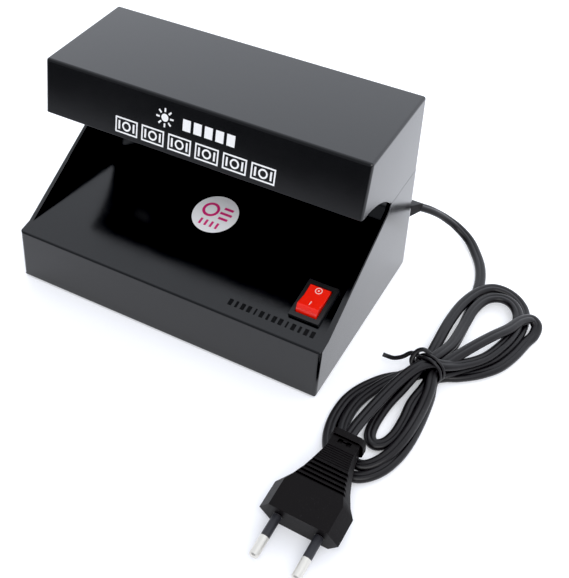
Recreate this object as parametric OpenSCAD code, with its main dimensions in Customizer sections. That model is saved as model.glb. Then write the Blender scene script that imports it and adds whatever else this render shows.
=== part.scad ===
// Desk-top ultraviolet banknote checker: a C-shaped two-part housing with a lamp in its head,
// a rocker switch on its deck and a flat mains lead tied in a bow.
// X is the width, +Y goes back and Z is up. The origin is under the middle of the housing, on the table.

/* [Housing] */
// Width of the housing
body_w = 165; // [150:1:210]
// Depth of the housing at its foot
body_d = 101; // [96:1:130]
// Height from the table to the top
body_h = 101; // [92:1:125]
// Wall thickness of both mouldings
wall = 2.3; // [1.8:0.1:3]
// How far the front wall leans back from foot to lip
front_lean = 3.8; // [0:0.2:8]
// Height of the joint line between the two mouldings
split_z = 61; // [58:1:66]

/* [Deck] */
// Height of the front lip of the deck
lip_z = 26.4; // [24:0.2:30]
// Rise of the deck towards the back, in degrees
deck_tilt = 9.5; // [6:0.5:11]
// Length of the straight part of the deck, measured level
deck_run = 64; // [58:1:66]
// Radius of the curve behind the deck
back_r = 18; // [14:1:20]
// Slope of the back panel above that curve, in degrees
back_slope = 80; // [70:1:85]
// Slope of the cheeks' top edges, in degrees
cheek_slope = 27; // [24:0.5:28]
// Where the cheeks start to rise, behind the lip
cheek_start = 7.5; // [5:0.5:14]

/* [Head] */
// Height of the head's front lower edge
head_z = 75.6; // [73:0.2:80]
// Distance of that edge behind the lip
head_front = 33.8; // [28:0.2:38]
// How far the head's front face leans back
head_lean = 6.6; // [0:0.2:10]
// Radius of the curve from the head down to the joint line
throat_r = 45.5; // [42:0.5:52]

/* [Lamp] */
// Length of the lamp between its cap faces
lamp_len = 136; // [134:0.5:138]
// Diameter of the lamp's glass
lamp_d = 15.5; // [14:0.1:16]
// Diameter of a contact pin
lamp_pin_d = 2.35; // [2.2:0.05:2.5]
// Distance between the pins of one cap
lamp_pin_pitch = 5; // [4.5:0.1:5.5]
// Length of a contact pin
lamp_pin_len = 7; // [6:0.1:7.2]
// Diameter of the turning part of a lamp holder
rotor_d = 12; // [11:0.5:14]

/* [Switch] */
// Width of the switch's frame
bezel_w = 15; // [14:0.5:17]
// Length of the switch's frame
bezel_l = 21.4; // [20:0.2:23]
// Height of the frame above the deck
bezel_h = 1.8; // [1.2:0.1:2.4]
// Depth of the switch's body under the deck
switch_depth = 13; // [12:0.5:15]
// Travel of the rocker, in degrees
rocker_travel = 18; // [12:1:20]
// Width of the rocker
rocker_w = 10.4; // [9:0.1:10.8]
// Half the length of the rocker
rocker_r = 8.2; // [7:0.1:8.4]

/* [Bottom] */
// Height of the rubber feet under the shell
foot_h = 1; // [0.6:0.1:2]
// Diameter of a rubber foot
foot_d = 12; // [9:0.5:14]
// Thickness of the bottom cover
cover_t = 2; // [1.6:0.1:3]
// Gap all round the bottom cover
cover_gap = 0.3; // [0.2:0.05:0.5]
// Core diameter of the cover screws
screw_d = 3; // [2.5:0.1:3.5]

/* [Board] */
// Length of the circuit board
board_l = 78; // [70:1:90]
// Width of the circuit board
board_w = 36; // [32:1:42]
// Height of the board above the bottom cover
board_lift = 5; // [4:0.5:6]

/* [Lead and plug] */
// Width of the flat lead
lead_w = 5.4; // [5:0.1:6]
// Thickness of the flat lead
lead_t = 3.3; // [3:0.1:3.6]
// Length of the tapered strain relief
relief_l = 20; // [20:1:30]
// Width of the plug
plug_w = 35.3; // [34.6:0.1:36]
// Thickness of the plug
plug_t = 13.7; // [13:0.1:14.4]
// Diameter of a plug pin
pin_d = 4; // [3.94:0.02:4.06]
// Distance between the plug pins
pin_pitch = 18.6; // [18:0.1:19.2]
// Length of a plug pin in front of the plug
pin_len = 19; // [18.5:0.1:19.5]
// Length of the insulating sleeve on a pin
sleeve_len = 10; // [10:0.1:11]

/* [Hidden] */

$fn = 48;
eps = 0.5; // how far a cut runs past the face that it opens
inner_w = body_w - 2 * wall;
lip_y = -body_d / 2 + front_lean; // every length behind the lip starts here
rear_y = body_d / 2;
inner_rear = rear_y - wall;

// Deck: a straight ramp, a curve and a steep back panel, all given in Y and Z
ramp_end = [lip_y + deck_run, lip_z + deck_run * tan(deck_tilt)];
curve_mid = ramp_end + back_r * [-sin(deck_tilt), cos(deck_tilt)];
curve_steps = 14;
function curve_angle(i) = deck_tilt + (back_slope - deck_tilt) * i / curve_steps;
function curve_at(a, r) = curve_mid + r * [sin(a), -cos(a)];
function deck_curve(r) = [for (i = [0:curve_steps]) curve_at(curve_angle(i), r)];
curve_top = curve_at(back_slope, back_r);
function slope_out(p, z) = [p[0] + (z - p[1]) / tan(back_slope), z];
deck_back = slope_out(curve_top, split_z); // the back panel's top edge
function deck_z(y) = lip_z + (y - lip_y) * tan(deck_tilt); // height of the ramp
module on_deck(x, y) translate([x, y, deck_z(y)]) rotate([deck_tilt, 0, 0]) children();

// Throat: the arc that joins the head's lower edge to the joint line
throat_mid = [lip_y + head_front, head_z - throat_r];
throat_drop = split_z - throat_mid[1];
throat_y = throat_mid[0] + sqrt(throat_r * throat_r - throat_drop * throat_drop);
throat_steps = 16;
throat_end = asin(throat_drop / throat_r);
function throat_at(i) = throat_mid
    + throat_r * [cos(throat_end + (90 - throat_end) * i / throat_steps),
                  sin(throat_end + (90 - throat_end) * i / throat_steps)];
head_top_y = lip_y + head_front + head_lean;
head_tilt = atan(head_lean / (body_h - head_z)); // the front face's lean, in degrees
cheek_z = deck_z(lip_y + cheek_start);
cheek_top_y = throat_y - 1.2;
function cheek_at(y) = cheek_z + (y - lip_y - cheek_start) * tan(cheek_slope);

// A plate cut to a Y-Z outline, w wide and centred on x
module slab(w, outline, x = 0)
    translate([x - w / 2, 0, 0]) rotate([90, 0, 90]) linear_extrude(w) polygon(outline);

// Something on both sides, once at +x and once at -x
module both(x) for (s = [-1, 1]) translate([s * x, 0, 0]) children();

// Something at each place of a list of points
module at(places) for (p = places) translate(p) children();

// A ring of n points across a path, a wide and b high, level in the direction of its width
function unit(v) = v / norm(v);
function tangent(path, i) = unit(path[min(i + 1, len(path) - 1)] - path[max(i - 1, 0)]);
function sideways(t) = unit(cross(t, abs(t[2]) > 0.95 ? [0, 1, 0] : [0, 0, 1]));
function ring(path, i, a, b, n) =
    let (t = tangent(path, i), u = sideways(t), v = cross(u, t))
    [for (k = [0:n - 1]) path[i] + a / 2 * cos(360 * k / n) * u + b / 2 * sin(360 * k / n) * v];

// A closed tube of n sides that follows a path
module tube(path, a, b, n = 8) {
    rings = len(path);
    points = [for (i = [0:rings - 1]) each ring(path, i, a, b, n)];
    sides = [for (i = [0:rings - 2]) for (k = [0:n - 1])
        [i * n + k, i * n + (k + 1) % n, (i + 1) * n + (k + 1) % n, (i + 1) * n + k]];
    first = [for (k = [0:n - 1]) n - 1 - k];
    last = [for (k = [0:n - 1]) (rings - 1) * n + k];
    polyhedron(points, concat([first], sides, [last]), convexity = 6);
}

// A smooth path through hand-chosen points, with some steps between each two
function spline_at(a, b, c, d, t) = 0.5 * (2 * b + (c - a) * t
    + (2 * a - 5 * b + 4 * c - d) * t * t + (3 * b - a - 3 * c + d) * t * t * t);
function smooth(p, steps) = [for (i = [0:len(p) - 2]) for (s = [0:steps - (i < len(p) - 2 ? 1 : 0)])
    spline_at(p[max(i - 1, 0)], p[i], p[i + 1], p[min(i + 2, len(p) - 1)], s / steps)];

// Bottom: places of the cover screws, and of the tall columns that hold the upper shell
cover_top = foot_h + cover_t;
boss_d = 7;
boss_front = [body_w / 2 - wall - 6, lip_y + 9];
boss_rear = [body_w / 2 - wall - 6, lip_y + 66];
boss_places = [for (s = [-1, 1]) for (b = [boss_front, boss_rear]) [s * b[0], b[1], 0]];
boss_foot = cover_top + 0.2;
pilot_d = screw_d - 0.5;
column_d = 8.4;
column_x = 40;
column_y = inner_rear - column_d / 2 + 0.4;
column_seat = split_z - 8; // where the shell screws' heads bear
shell_screw_l = 16;

// Lower shell: the cheeks, the deck and the front and rear walls, open below
module lower_shell() color([0.09, 0.09, 0.1]) difference() {
    union() {
        difference() {
            slab(body_w, lower_outline());
            slab(inner_w, lower_hollow());
        }
        both(boss_front[0]) translate([0, boss_front[1], boss_foot])
            cylinder(d = boss_d, h = lip_z - boss_foot);
        both(boss_rear[0]) translate([0, boss_rear[1], boss_foot])
            cylinder(d = boss_d, h = split_z - 10 - boss_foot);
        both(column_x) translate([0, column_y, boss_foot])
            cylinder(d = column_d, h = split_z - boss_foot);
    }
    slab(inner_w, above_deck());
    at(boss_places) translate([0, 0, cover_top - eps]) cylinder(d = pilot_d, h = 12);
    both(column_x) translate([0, column_y, 0]) {
        cylinder(d = 6.4, h = column_seat);
        cylinder(d = screw_d + 0.2, h = split_z + 1);
    }
    on_deck(switch_x, switch_y) cube([cutout_w, cutout_l, 30], center = true);
    translate([relief_x, rear_y - wall / 2, relief_z])
        cube([relief_w, wall + 1, relief_h], center = true);
}
function lower_outline() = [[lip_y - front_lean, foot_h], [lip_y, lip_z],
    [lip_y + cheek_start, cheek_z], [cheek_top_y, cheek_at(cheek_top_y)], [throat_y, split_z],
    [rear_y, split_z], [rear_y, foot_h]];
function lower_hollow() = concat(
    [[lip_y - front_lean + wall, foot_h - 1], [lip_y + wall, lip_z - wall + wall * tan(deck_tilt)]],
    deck_curve(back_r + wall),
    [slope_out(curve_at(back_slope, back_r + wall), split_z + 1), [inner_rear, split_z + 1],
     [inner_rear, foot_h - 1]]);
function above_deck() = concat([[lip_y + cheek_start, cheek_z]], deck_curve(back_r),
    [slope_out(curve_top, split_z + 1), [lip_y + cheek_start, split_z + 1]]);

// Upper shell: the head and the upper half of the back, open below
module upper_shell() color([0.1, 0.1, 0.11]) {
    difference() {
        slab(body_w, upper_outline());
        slab(inner_w, upper_hollow());
    }
    both(column_x) translate([0, column_y, split_z]) difference() {
        cylinder(d = column_d, h = 14);
        translate([0, 0, -eps]) cylinder(d = pilot_d, h = shell_screw_l - 6);
    }
    both(holder_screw_x) translate([0, holder_screw_y, holder_top]) difference() {
        cylinder(d = 6, h = body_h - wall - holder_top + eps);
        translate([0, 0, -eps]) cylinder(d = pilot_d, h = 3.5);
    }
    both(reflector_screw_x) translate([0, reflector_screw_y, reflector_top + 0.6]) difference() {
        cylinder(d = 6, h = body_h - wall - reflector_top - 0.6 + eps);
        translate([0, 0, -eps]) cylinder(d = pilot_d, h = 3);
    }
}
function upper_outline() = concat([for (i = [0:throat_steps]) throat_at(i)],
    [[head_top_y, body_h], [rear_y, body_h], [rear_y, split_z]]);
function upper_hollow() = [
    [lip_y + head_front + wall - 20 * tan(head_tilt), head_z - 20],
    [head_top_y + wall - wall * tan(head_tilt), body_h - wall],
    [inner_rear, body_h - wall], [inner_rear, split_z - 20]];

// Bottom cover: a plate inside the shell's foot, with air slots, feet pads and screw holes
cover_front = lip_y - front_lean + wall + (cover_t + 1) * front_lean / (lip_z - foot_h - wall) + cover_gap;
cover_rear = inner_rear - cover_gap;
cover_w = inner_w - 2 * cover_gap;
slot_count = 7;
slot_pitch = 6;
module bottom_cover() color([0.12, 0.12, 0.13]) difference() {
    translate([-cover_w / 2, cover_front, foot_h]) cube([cover_w, cover_rear - cover_front, cover_t]);
    at(boss_places) translate([0, 0, foot_h]) {
        translate([0, 0, -eps]) cylinder(d = screw_d + 0.4, h = cover_t + 1);
        translate([0, 0, -0.01]) cylinder(d1 = 6.4, d2 = screw_d + 0.4, h = 1.5);
    }
    for (side = [-1, 1]) for (i = [0:slot_count - 1])
        translate([side * 48 + (i - (slot_count - 1) / 2) * slot_pitch, 2, foot_h + cover_t / 2])
            cube([2.5, 26, cover_t + 1], center = true);
    at(foot_places) translate([0, 0, foot_h - eps]) cylinder(d = foot_stem_d + 0.1, h = cover_t + 1);
}

// Rubber feet: four discs under the cover, each with a stem pushed through it
foot_stem_d = 4;
foot_places = [for (sx = [-1, 1]) for (sy = [-1, 1])
    [sx * (body_w / 2 - 26), sy * (body_d / 2 - 13) + 1, 0]];
module rubber_feet() color([0.06, 0.06, 0.06]) at(foot_places) {
    cylinder(d = foot_d, h = foot_h);
    cylinder(d = foot_stem_d, h = foot_h + cover_t);
    translate([0, 0, foot_h + cover_t]) cylinder(d1 = foot_stem_d + 1.2, d2 = foot_stem_d - 1, h = 1.4);
}

// Countersunk screws that hold the cover
module cover_screws() color([0.7, 0.7, 0.72]) at(boss_places) translate([0, 0, foot_h + 0.1]) difference() {
    union() {
        cylinder(d1 = 6, d2 = screw_d, h = 1.4);
        cylinder(d = screw_d - 0.5, h = 10);
    }
    cross_slot(1);
}
module cross_slot(depth) for (a = [0, 90]) rotate([0, 0, a]) cube([0.8, 3.4, 2 * depth], center = true);

// Pan-head screw that points up from z = 0, its head below
module pan_screw(head_d, head_h, shank_d, shank_l) difference() {
    union() {
        translate([0, 0, -head_h]) cylinder(d1 = head_d * 0.8, d2 = head_d, h = head_h);
        cylinder(d = shank_d, h = shank_l);
    }
    translate([0, 0, -head_h]) cross_slot(head_h * 0.6);
}

// Screws deep in the rear columns, which pull the upper shell down
module shell_screws() color([0.7, 0.7, 0.72]) both(column_x)
    translate([0, column_y, column_seat]) pan_screw(5.6, 2.2, screw_d - 0.5, shell_screw_l);

// The lamp's axis and the room that its holders take at each side wall
lamp_y = lip_y + 58;
lamp_z = head_z + 9.4;
holder_t = (inner_w - lamp_len) / 2 - 0.4;
holder_back = 10; // and behind it
holder_drop = 11;
holder_top = lamp_z + 9;
holder_front = 12.5; // the holder's block in front of the axis, where its screw runs
holder_screw_x = inner_w / 2 - holder_t / 2;
holder_screw_y = lamp_y - 9.2;
holder_screw_z = lamp_z - 4;
rotor_depth = lamp_pin_len + 1;
rotor_gap = 0.05;

// Reflector: one folded sheet of polished aluminium behind and above the lamp
reflector_t = 0.6;
reflector_top = body_h - wall - 2.8;
reflector_w = 2 * (body_w / 2 - wall - holder_t - 1);
reflector_screw_x = 45;
reflector_screw_y = lamp_y;
reflector_path = [
    [lip_y + head_front + wall + 2.2, head_z + 2], [head_top_y + wall + 0.6, reflector_top - 3],
    [head_top_y + wall + 5, reflector_top], [deck_back[0] - 7, reflector_top],
    [deck_back[0] + 1.5, reflector_top - 8], [deck_back[0] + 1.5, split_z + 0.6]];
function path_normal(p, i) =
    let (t = unit(p[min(i + 1, len(p) - 1)] - p[max(i - 1, 0)])) [-t[1], t[0]];
function ribbon(p, t) = concat(p,
    [for (i = [len(p) - 1:-1:0]) p[i] + t * path_normal(p, i)]);
module reflector() color([0.85, 0.86, 0.88]) difference() {
    slab(reflector_w, ribbon(reflector_path, reflector_t));
    both(reflector_screw_x) translate([0, reflector_screw_y, reflector_top - 2])
        cylinder(d = screw_d + 0.2, h = 4);
}
module reflector_screws() color([0.7, 0.7, 0.72]) both(reflector_screw_x)
    translate([0, reflector_screw_y, reflector_top - 0.02]) pan_screw(5.4, 1.6, screw_d - 0.5, 2.7);

// Lamp holders: a block at each side wall with a bore for the rotor and a slot for the pins
slot_w = lamp_pin_d + 0.3;
module holder(side) color([0.93, 0.93, 0.9]) difference() {
    translate([side * (inner_w / 2 - 0.1 - holder_t / 2), lamp_y + (holder_back - holder_front) / 2,
        (lamp_z - holder_drop + holder_top) / 2])
        cube([holder_t - 0.2, holder_back + holder_front, holder_top - lamp_z + holder_drop], center = true);
    lamp_axis(side * (lamp_len / 2 + 0.2 + rotor_depth / 2), rotor_depth + 0.6, rotor_d + 2 * rotor_gap);
    translate([side * (lamp_len / 2 + 0.2 + rotor_depth / 2), lamp_y, lamp_z - holder_drop])
        cube([rotor_depth + 0.6, slot_w, 2 * holder_drop], center = true);
    translate([side * holder_screw_x, holder_screw_y, holder_screw_z]) {
        cylinder(d = screw_d - 0.3, h = 20);
        mirror([0, 0, 1]) cylinder(d = 5.6, h = 20);
    }
    for (s = [-1, 1]) translate([side * contact_x, lamp_y + holder_back, lamp_z + s * 3.5])
        cube([5, 8.2, 1.1], center = true);
}
// A cylinder on the lamp's axis, centred on x
module lamp_axis(x, length, d) translate([x, lamp_y, lamp_z]) rotate([0, 90, 0])
    cylinder(d = d, h = length, center = true);
module lamp_holder_left() holder(-1);
module lamp_holder_right() holder(1);

// Bronze tabs behind the holders, where the lamp's wires end
contact_x = lamp_len / 2 + rotor_depth + 1.4 - 3;
module holder_contacts() color([0.8, 0.6, 0.3]) for (side = [-1, 1]) for (s = [-1, 1])
    translate([side * contact_x, lamp_y + holder_back + 1.2, lamp_z + s * 3.5])
        cube([4.6, 8, 0.6], center = true);
module holder_screws() color([0.7, 0.7, 0.72]) both(holder_screw_x)
    translate([0, holder_screw_y, holder_screw_z])
        pan_screw(5.2, 1.6, screw_d - 0.5, holder_top - holder_screw_z + 2.6);

// Rotors: discs in the holders that turn with the lamp's pins
module lamp_rotors() color([0.96, 0.96, 0.94]) for (side = [-1, 1]) difference() {
    lamp_axis(side * (lamp_len / 2 + 0.2 + rotor_depth / 2), rotor_depth - 0.2, rotor_d);
    translate([side * (lamp_len / 2 + 0.2 + rotor_depth / 2 - 0.8), lamp_y, lamp_z])
        cube([rotor_depth - 0.2, rotor_d + 2, slot_w], center = true);
}

// Lamp: dark-blue glass between two metal caps, each with two pins
cap_len = 12;
module lamp_glass() color([0.12, 0.1, 0.25]) difference() {
    lamp_axis(0, lamp_len - 2 * cap_len + 4, lamp_d);
    lamp_axis(0, lamp_len, lamp_d - 1.6);
}
module lamp_caps() color([0.8, 0.8, 0.82]) for (side = [-1, 1]) difference() {
    lamp_axis(side * (lamp_len - cap_len) / 2, cap_len, lamp_d + 0.4);
    lamp_axis(side * (lamp_len / 2 - cap_len + 0.5), 3, lamp_d);
}
module lamp_pins() color([0.85, 0.8, 0.65]) for (side = [-1, 1]) for (s = [-1, 1])
    translate([side * (lamp_len + lamp_pin_len) / 2, lamp_y + s * lamp_pin_pitch / 2, lamp_z])
        rotate([0, 90, 0]) cylinder(d = lamp_pin_d, h = lamp_pin_len, center = true);

// Switch: all of it stands square to the deck, with the rocker's axis as its centre
switch_x = body_w / 2 - 14.9;
switch_y = lip_y + 22.4;
cutout_w = bezel_w - 2;
cutout_l = bezel_l - 2;
pivot_z = bezel_h - 2.6; // the rocker's axis, measured from the deck's surface
pivot_d = 2;
pivot_gap = 0.05;
well_w = rocker_w + 0.4;
well_r = rocker_r + 0.2;
switch_wall = (cutout_w - 0.4 - well_w) / 2;
rest_angle = -rocker_travel / 2; // at rest the rear end is down
module switch_housing() color([0.05, 0.05, 0.05]) on_deck(switch_x, switch_y) difference() {
    union() {
        translate([-bezel_w / 2, -bezel_l / 2, 0]) cube([bezel_w, bezel_l, bezel_h]);
        translate([0, 0, (0.1 - switch_depth) / 2])
            cube([cutout_w - 0.4, cutout_l - 0.4, switch_depth + 0.1], center = true);
    }
    translate([0, 0, bezel_h / 2 - 2]) cube([well_w, 2 * well_r, bezel_h + 8], center = true);
    translate([0, 0, -7]) cube([well_w - 3, 2 * well_r - 3, 8], center = true);
    translate([0, 0, pivot_z]) rotate([0, 90, 0])
        cylinder(d = pivot_d + 2 * pivot_gap, h = well_w + 2 * switch_wall - 0.4, center = true);
}
module switch_terminals() color([0.8, 0.75, 0.55]) on_deck(switch_x, switch_y)
    for (s = [-1, 1]) translate([0, s * 5, -switch_depth - 4])
        difference() {
            cube([4.8, 0.8, 8], center = true);
            translate([0, 0, -1.6]) rotate([90, 0, 0]) cylinder(d = 1.8, h = 2, center = true);
        }

// Rocker: a shallow V on top and round ends about its axis, with two pivot studs
rocker_mid_h = 3.9;
rocker_end_h = 5.4;
module rocker_frame() on_deck(switch_x, switch_y) translate([0, 0, pivot_z]) rotate([rest_angle, 0, 0])
    children();
function rocker_outline() = [[-rocker_r - 1, rocker_end_h], [0, rocker_mid_h], [rocker_r + 1, rocker_end_h],
    [rocker_r + 1, -0.8], [3, -2.8], [-3, -2.8], [-rocker_r - 1, -0.8]];
module switch_rocker() color([0.9, 0.08, 0.05]) rocker_frame() difference() {
    union() {
        intersection() {
            slab(rocker_w, rocker_outline());
            rotate([0, 90, 0]) cylinder(r = rocker_r, h = rocker_w + 2, center = true, $fn = 96);
        }
        rotate([0, 90, 0]) cylinder(d = pivot_d, h = well_w + 2 * switch_wall - 1, center = true);
    }
    translate([0, 0, -3]) cylinder(d = plunger_d + 0.1, h = 4);
}

// Marks inlaid in the rocker: a ring at the rear for off and a bar at the front for on
rocker_top_slope = atan((rocker_end_h - rocker_mid_h) / (rocker_r + 1));
mark_h = 0.12;
module mark_face(y, slope) translate([0, y, rocker_mid_h + abs(y) * tan(rocker_top_slope)])
    rotate([slope, 0, 0]) children();
module rocker_marks() color([0.95, 0.95, 0.95]) rocker_frame() {
    mark_face(4.4, rocker_top_slope) difference() {
        translate([0, 0, 0.01]) cylinder(d = 3.4, h = mark_h);
        cylinder(d = 2.7, h = 3 * mark_h, center = true);
    }
    mark_face(4.4, rocker_top_slope) translate([0, 0, 0.01]) cylinder(d = 0.8, h = mark_h);
    mark_face(-4, -rocker_top_slope) translate([-0.2, -1.3, 0.01]) cube([0.4, 2.6, mark_h]);
}
plunger_d = 2.4;
module rocker_plunger() color([0.8, 0.65, 0.35]) rocker_frame() {
    translate([0, 0, -4.6]) cylinder(d = plunger_d, h = 5.2);
    translate([0, 0, -4.6]) sphere(d = plunger_d);
}

// Circuit board of the lamp's ballast, on four posts on the bottom cover
board_t = 1.6;
board_z = cover_top + board_lift;
board_at = [-18, 6];
post_places = [for (sx = [-1, 1]) for (sy = [-1, 1])
    [board_at[0] + sx * (board_l / 2 - 4), board_at[1] + sy * (board_w / 2 - 4), cover_top]];
module circuit_board() color([0.75, 0.6, 0.35]) difference() {
    translate([board_at[0], board_at[1], board_z + board_t / 2])
        cube([board_l, board_w, board_t], center = true);
    at(post_places) cylinder(d = 3.2, h = 20);
}
module board_posts() color([0.85, 0.85, 0.8]) at(post_places) difference() {
    cylinder(d = 5.5, h = board_lift);
    translate([0, 0, 1]) cylinder(d = 2.2, h = board_lift);
}
module board_screws() color([0.7, 0.7, 0.72]) at(post_places) translate([0, 0, board_lift + board_t])
    mirror([0, 0, 1]) pan_screw(4.8, 1.8, 2.2, 5);
module on_board(x, y) translate([board_at[0] + x, board_at[1] + y, board_z + board_t]) children();

// Parts of the ballast
module inductor_core() color([0.25, 0.24, 0.24]) on_board(-14, 3) difference() {
    translate([-8, -7, 0]) cube([16, 14, 13]);
    translate([-5.6, -8, 2.4]) cube([11.2, 16, 8.2]);
}
module inductor_winding() color([0.72, 0.4, 0.16]) on_board(-14, 3) difference() {
    translate([-5.4, -8.6, 2.6]) cube([10.8, 17.2, 7.8]);
    for (s = [-1, 1]) translate([-6, s * 9.3 - 1, 4]) cube([12, 2, 5]);
}
module filter_capacitor() color([0.1, 0.12, 0.3]) on_board(26, 8) {
    cylinder(d = 10, h = 14);
    translate([0, 0, 14]) cylinder(d1 = 10, d2 = 8.6, h = 0.7);
}
module film_capacitors() color([0.75, 0.2, 0.12]) for (y = [-6, 0]) on_board(2, y)
    translate([-5, -2.2, 0.4]) cube([10, 4.4, 9]);
module transistors() color([0.08, 0.08, 0.08]) for (x = [12, 21]) on_board(x, -8) {
    translate([-4, -1.5, 3.5]) cube([8, 3, 10]);
    for (k = [-2.3, 0, 2.3]) translate([k - 0.35, -0.3, 0]) cube([0.7, 0.6, 4]);
}
resistor_places = [[-26, -13], [-14, -13], [2, -13], [12, 3], [12, 8]];
module resistors() color([0.82, 0.7, 0.5]) for (p = resistor_places) on_board(p[0], p[1]) {
    translate([-3, 0, 1.4]) rotate([0, 90, 0]) cylinder(d = 2.4, h = 6);
    translate([-4.6, 0, 1.4]) rotate([0, 90, 0]) cylinder(d = 0.7, h = 9.2);
    for (x = [-4.6, 4.6]) translate([x, 0, 0]) cylinder(d = 0.7, h = 1.75);
}
module fuse() color([0.9, 0.9, 0.85]) on_board(-30, 0) translate([0, 0, 2.6]) rotate([90, 0, 0])
    cylinder(d = 5, h = 18, center = true);

// Wires inside the housing, each a tube along hand-chosen points
wire_d = 1.6;
lamp_lead_path = [[board_at[0] + 36, 10, board_z + 3], [30, 26, 18], [52, 36, 26], [62, inner_rear - 4, 34],
    [64, inner_rear - 3, 52], [66, inner_rear - 3, 70], [contact_x, inner_rear - 6, lamp_z - 2],
    [contact_x, lamp_y + holder_back + 10, lamp_z + 3.5],
    [contact_x, lamp_y + holder_back + 4.4, lamp_z + 4.8]];
lamp_lead_left = [[board_at[0] - 36, 10, board_z + 3], [-56, 26, 18], [-62, 36, 26],
    [-64, inner_rear - 4, 34], [-64, inner_rear - 3, 52], [-66, inner_rear - 3, 70],
    [-contact_x, inner_rear - 6, lamp_z - 2], [-contact_x, lamp_y + holder_back + 10, lamp_z + 3.5],
    [-contact_x, lamp_y + holder_back + 4.4, lamp_z + 4.8]];
module lamp_leads() color([0.9, 0.9, 0.9]) {
    tube(smooth(lamp_lead_path, 4), wire_d, wire_d);
    tube(smooth(lamp_lead_left, 4), wire_d, wire_d);
}
switch_lead_path = [[board_at[0] + 37, -4, board_z + 3], [32, -10, 11], [switch_x - 19.6, -16, 8],
    [switch_x - 7.6, -20, 7],
    [switch_x - 1, switch_y - 3.4, 9], [switch_x - 1, switch_y - 3.4, 10.5]];
module switch_leads() color([0.7, 0.1, 0.1]) tube(smooth(switch_lead_path, 4), wire_d, wire_d);

// Where the flat lead comes in: a moulded relief in the rear wall, a tail and a clamp inside
relief_x = 70;
relief_z = 28;
relief_lean = 9; // how far the relief's tip is bent outwards
relief_drop = 5; // and down
relief_w = 10;
relief_h = 7.6;
module strain_relief() color([0.05, 0.05, 0.05]) translate([relief_x, rear_y, relief_z]) {
    translate([0, -wall / 2, 0]) cube([relief_w - 0.2, wall + 0.04, relief_h - 0.2], center = true);
    translate([-relief_w / 2 - 1, -wall - 1.6, -relief_h / 2 - 1]) cube([relief_w + 2, 1.6, relief_h + 2]);
    hull() {
        translate([-relief_w / 2 - 0.6, 0, -relief_h / 2 - 0.6]) cube([relief_w + 1.2, 1.6, relief_h + 1.2]);
        translate([relief_lean - lead_w / 2 - 0.5, relief_l - 1, -relief_drop - lead_t / 2 - 0.5])
            cube([lead_w + 1, 1, lead_t + 1]);
    }
}
clamp_z = cover_top + lead_t / 2 + 0.1;
tail_path = [[relief_x, inner_rear - 1.6, relief_z], [relief_x - 1, inner_rear - 6, relief_z - 2],
    [64, 34, 18], [58, 28, 9], [56, 22, 5.6], [56, 19, clamp_z], [56, 14, clamp_z], [56, 9, clamp_z],
    [54, 4, 5.4], [48, 0, 6.6], [38, -2, 8], [26, -3, 9]];
module lead_tail() color([0.06, 0.06, 0.06]) tube(smooth(tail_path, 4), lead_w, lead_t);
clamp_screw_at = [for (s = [-1, 1]) [56 + s * 7.5, 14, cover_top]];
module lead_clamp() color([0.8, 0.8, 0.78]) difference() {
    translate([56 - 11, 14 - 4, cover_top]) cube([22, 8, lead_t + 2.4]);
    translate([56 - lead_w / 2 - 0.2, 0, cover_top - eps]) cube([lead_w + 0.4, 30, lead_t + eps + 0.3]);
    at(clamp_screw_at) translate([0, 0, -eps]) cylinder(d = screw_d, h = 12);
}
module clamp_screws() color([0.7, 0.7, 0.72]) at(clamp_screw_at) translate([0, 0, lead_t + 2.42])
    mirror([0, 0, 1]) pan_screw(5, 1.8, screw_d - 0.4, lead_t + 2.3);

// Print on the head's face: plain pictures of notes and a lamp, no lettering
print_t = 0.12;
module on_face(x, up) translate([x, lip_y + head_front, head_z]) rotate([-head_tilt, 0, 0])
    translate([0, 0, up]) rotate([90, 0, 0]) children();
module note_picture(w, h) {
    difference() {
        square([w, h], center = true);
        square([w - 1.4, h - 1.4], center = true);
    }
    difference() {
        circle(d = h - 3, $fn = 24);
        circle(d = h - 4.6, $fn = 24);
    }
    for (s = [-1, 1]) translate([s * (w / 2 - 2.1), 0]) square([0.9, h - 3.4], center = true);
}
note_count = 6;
note_w = 12;
note_h = 7.6;
note_pitch = 14.2;
print_x = 0;
module front_print() color([0.95, 0.95, 0.95]) {
    for (i = [0:note_count - 1])
        on_face(print_x - 42.5 + note_w / 2 + i * note_pitch, 6.4) linear_extrude(print_t)
            note_picture(note_w, note_h);
    for (i = [0:4]) on_face(-5 + i * 5.6, 16.4) linear_extrude(print_t) square([4, 5.4], center = true);
    on_face(-16.4, 16.8) linear_extrude(print_t) {
        circle(d = 3.6, $fn = 24);
        for (a = [0:45:315]) rotate(a) translate([3.6, 0]) square([1.8, 0.8], center = true);
    }
}

// Round sticker on the deck, with plain marks on it
sticker_at = [0, lip_y + 49];
sticker_d = 23.2;
sticker_t = 0.15;
module round_sticker() color([0.85, 0.85, 0.87]) on_deck(sticker_at[0], sticker_at[1])
    translate([0, 0, 0.005]) cylinder(d = sticker_d, h = sticker_t, $fn = 72);
module sticker_marks() color([0.8, 0.1, 0.35]) on_deck(sticker_at[0], sticker_at[1])
    translate([0, 0, sticker_t + 0.01]) linear_extrude(0.06) {
        translate([-3.4, 1.8]) difference() {
            circle(d = 8.8);
            circle(d = 6);
        }
        for (y = [-1.4, 1.8, 5]) translate([5, y]) square([y == 1.8 ? 6.4 : 5, 1.4], center = true);
        for (x = [-4.5, -1.5, 1.5, 4.5]) translate([x, -6.4]) square([1.2, 3.6], center = true);
    }

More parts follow.
